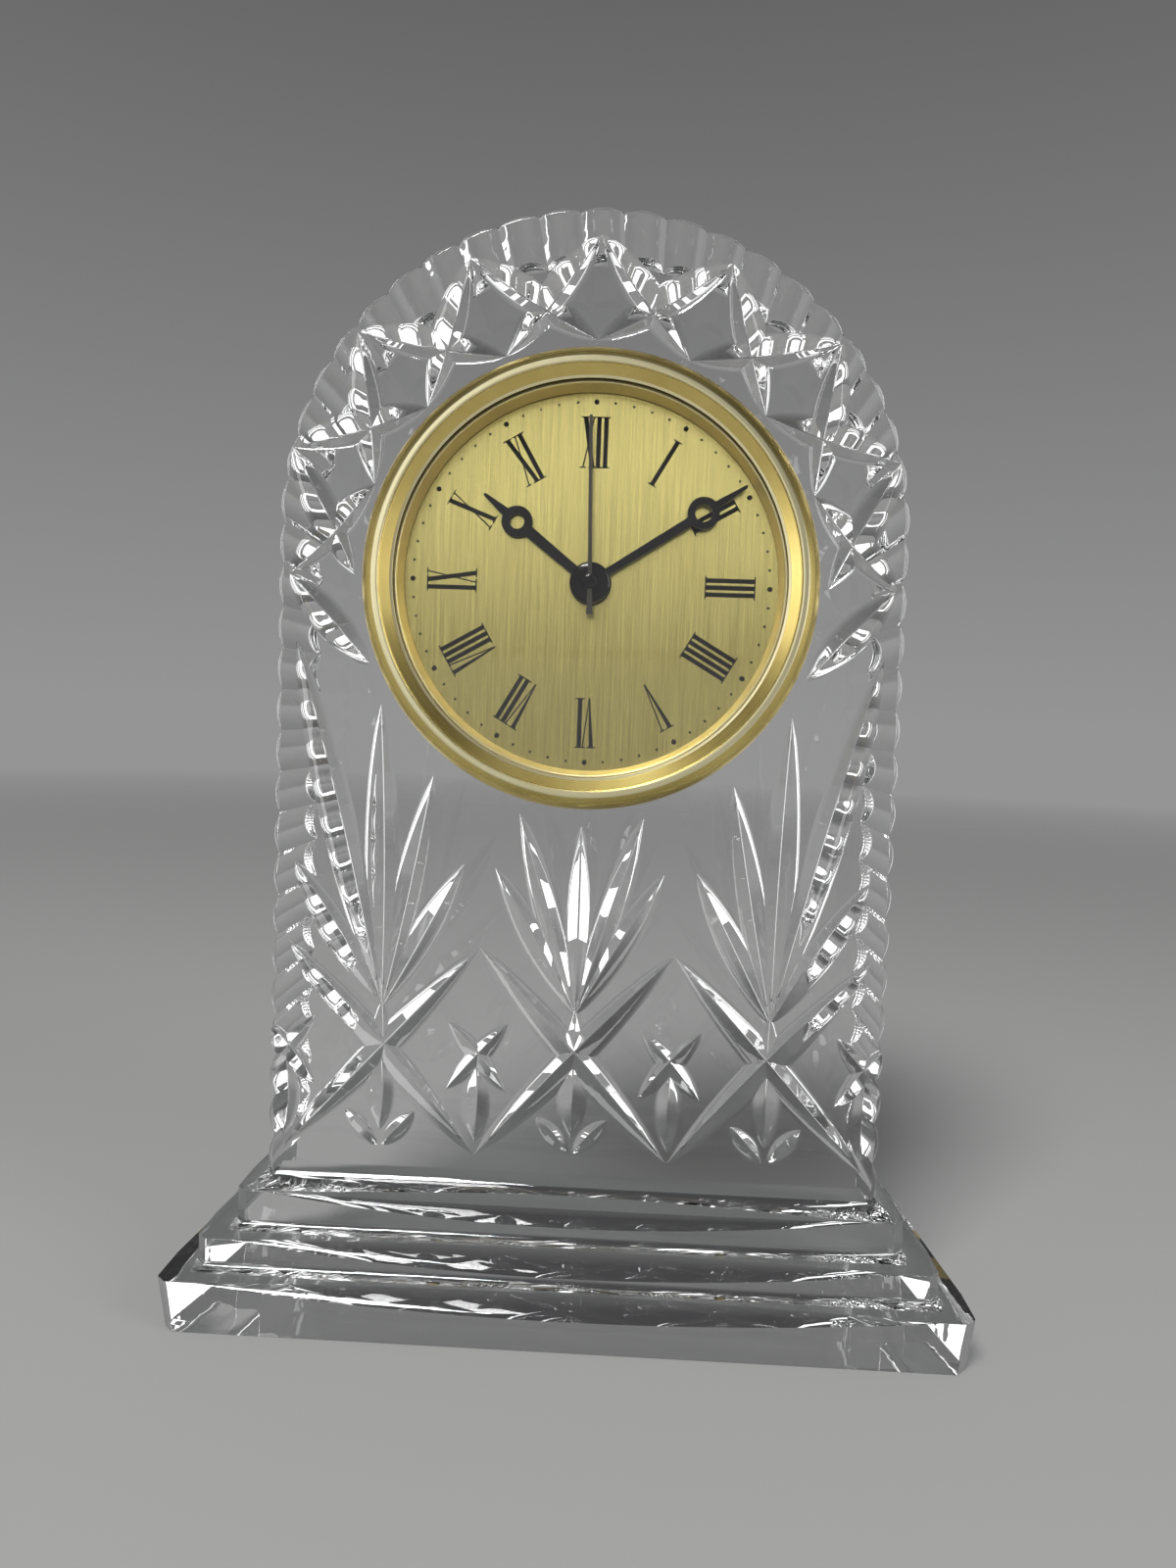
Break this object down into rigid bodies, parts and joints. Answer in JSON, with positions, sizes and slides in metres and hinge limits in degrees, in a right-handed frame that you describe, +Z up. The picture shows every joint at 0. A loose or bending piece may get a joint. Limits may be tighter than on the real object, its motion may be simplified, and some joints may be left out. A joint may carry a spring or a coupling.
{
  "type": "crystal desk clock",
  "caption": "Arched cut-glass block on a stepped base, with a round quartz clock in a bore through it: gold bezel, domed lens, brushed dial, open-ring hands.",
  "frame": {"origin": "centre of the base's underside, midway between front and back, on the table", "axes": "+Z up, +X to the right of someone who reads the dial, -Y the way the dial faces"},
  "size_m": [0.1222, 0.048, 0.1721],
  "materials": {
    "crystal": "polished clear crystal with polished wheel cuts",
    "lens_glass": "polished clear mineral glass",
    "gold": "polished gold plate",
    "dial_gold": "champagne gold, brushed upright, lacquered",
    "black_hand": "satin black lacquer",
    "black_plastic": "fine moulded texture",
    "white_plastic": "natural acetal",
    "steel": "bright rolled steel",
    "copper_wire": "enamelled copper wire, close wound",
    "green_board": "solder mask",
    "grip_rubber": "matt ribbed sleeve",
    "battery_sleeve": "plain shrink sleeve with a gold band"
  },
  "bodies": {
    "crystal": {"crystal_block": "crystal"},
    "insert": {"bezel": "gold", "lens": "lens_glass", "spacer_ring": "gold", "dial": "dial_gold", "insert_case": "black_plastic", "grip_ring": "grip_rubber", "front_plate": "black_plastic", "train_plate": "white_plastic", "stator": "steel", "coil_bobbin": "white_plastic", "coil_winding": "copper_wire", "circuit_board": "green_board", "quartz_can": "steel", "contact_positive": "steel", "contact_negative": "steel", "case_screw_1": "steel", "case_screw_2": "steel", "case_screw_3": "steel", "case_screw_4": "steel", "pillar_screw_1": "steel", "pillar_screw_2": "steel", "pillar_screw_3": "steel"},
    "battery": {"battery_cell": "battery_sleeve"},
    "hour": {"hour_hand": "black_hand", "hour_wheel": "white_plastic"},
    "minute": {"minute_hand": "black_hand", "cannon_pinion": "white_plastic"},
    "second": {"second_hand": "black_hand", "second_wheel": "white_plastic"},
    "minute_wheel": {"minute_wheel": "white_plastic"},
    "knob": {"setting_knob": "black_plastic"},
    "centre_wheel": {"centre_wheel": "white_plastic"},
    "third_wheel": {"third_wheel": "white_plastic"},
    "intermediate_wheel": {"intermediate_wheel": "white_plastic"},
    "rotor": {"rotor_pinion": "white_plastic", "rotor_magnet": "steel"}
  },
  "joints": [
    {"name": "insert_pull", "type": "slide", "parent": "crystal", "child": "insert", "axis": [0, -1, 0], "range_m": [0, 0.03]},
    {"name": "battery_out", "type": "slide", "parent": "insert", "child": "battery", "axis": [0, 1, 0], "range_m": [0, 0.0145]},
    {"name": "minute_turn", "type": "hinge", "parent": "insert", "child": "minute", "pos_m": [0, -0.0103, 0.1153], "axis": [0, 1, 0], "continuous": true},
    {"name": "hour_turn", "type": "hinge", "parent": "insert", "child": "hour", "pos_m": [0, -0.0103, 0.1153], "axis": [0, 1, 0], "continuous": true},
    {"name": "minute_wheel_turn", "type": "hinge", "parent": "insert", "child": "minute_wheel", "pos_m": [-0.00677, -0.0056, 0.11284], "axis": [0, 1, 0], "continuous": true},
    {"name": "knob_turn", "type": "hinge", "parent": "insert", "child": "knob", "pos_m": [-0.01474, 0.013, 0.11424], "axis": [0, 1, 0], "continuous": true},
    {"name": "second_turn", "type": "hinge", "parent": "insert", "child": "second", "pos_m": [0, -0.0103, 0.1153], "axis": [0, 1, 0], "continuous": true},
    {"name": "third_wheel_turn", "type": "hinge", "parent": "insert", "child": "third_wheel", "pos_m": [0.009, 0, 0.1153], "axis": [0, 1, 0], "continuous": true},
    {"name": "centre_wheel_turn", "type": "hinge", "parent": "insert", "child": "centre_wheel", "pos_m": [0, -0.002, 0.1153], "axis": [0, 1, 0], "continuous": true},
    {"name": "intermediate_wheel_turn", "type": "hinge", "parent": "insert", "child": "intermediate_wheel", "pos_m": [-0.0067, 0.002, 0.12092], "axis": [0, 1, 0], "continuous": true},
    {"name": "rotor_turn", "type": "hinge", "parent": "insert", "child": "rotor", "pos_m": [-0.00917, 0, 0.12769], "axis": [0, 1, 0], "continuous": true}
  ],
  "couplings": [
    {"joint": "hour_turn", "follows": "minute_turn", "ratio": 0.083333},
    {"joint": "minute_wheel_turn", "follows": "minute_turn", "ratio": -0.33333},
    {"joint": "knob_turn", "follows": "minute_turn", "ratio": 0.66667},
    {"joint": "third_wheel_turn", "follows": "second_turn", "ratio": -0.13333},
    {"joint": "centre_wheel_turn", "follows": "second_turn", "ratio": 0.016667},
    {"joint": "intermediate_wheel_turn", "follows": "second_turn", "ratio": -6},
    {"joint": "rotor_turn", "follows": "second_turn", "ratio": 30}
  ]
}
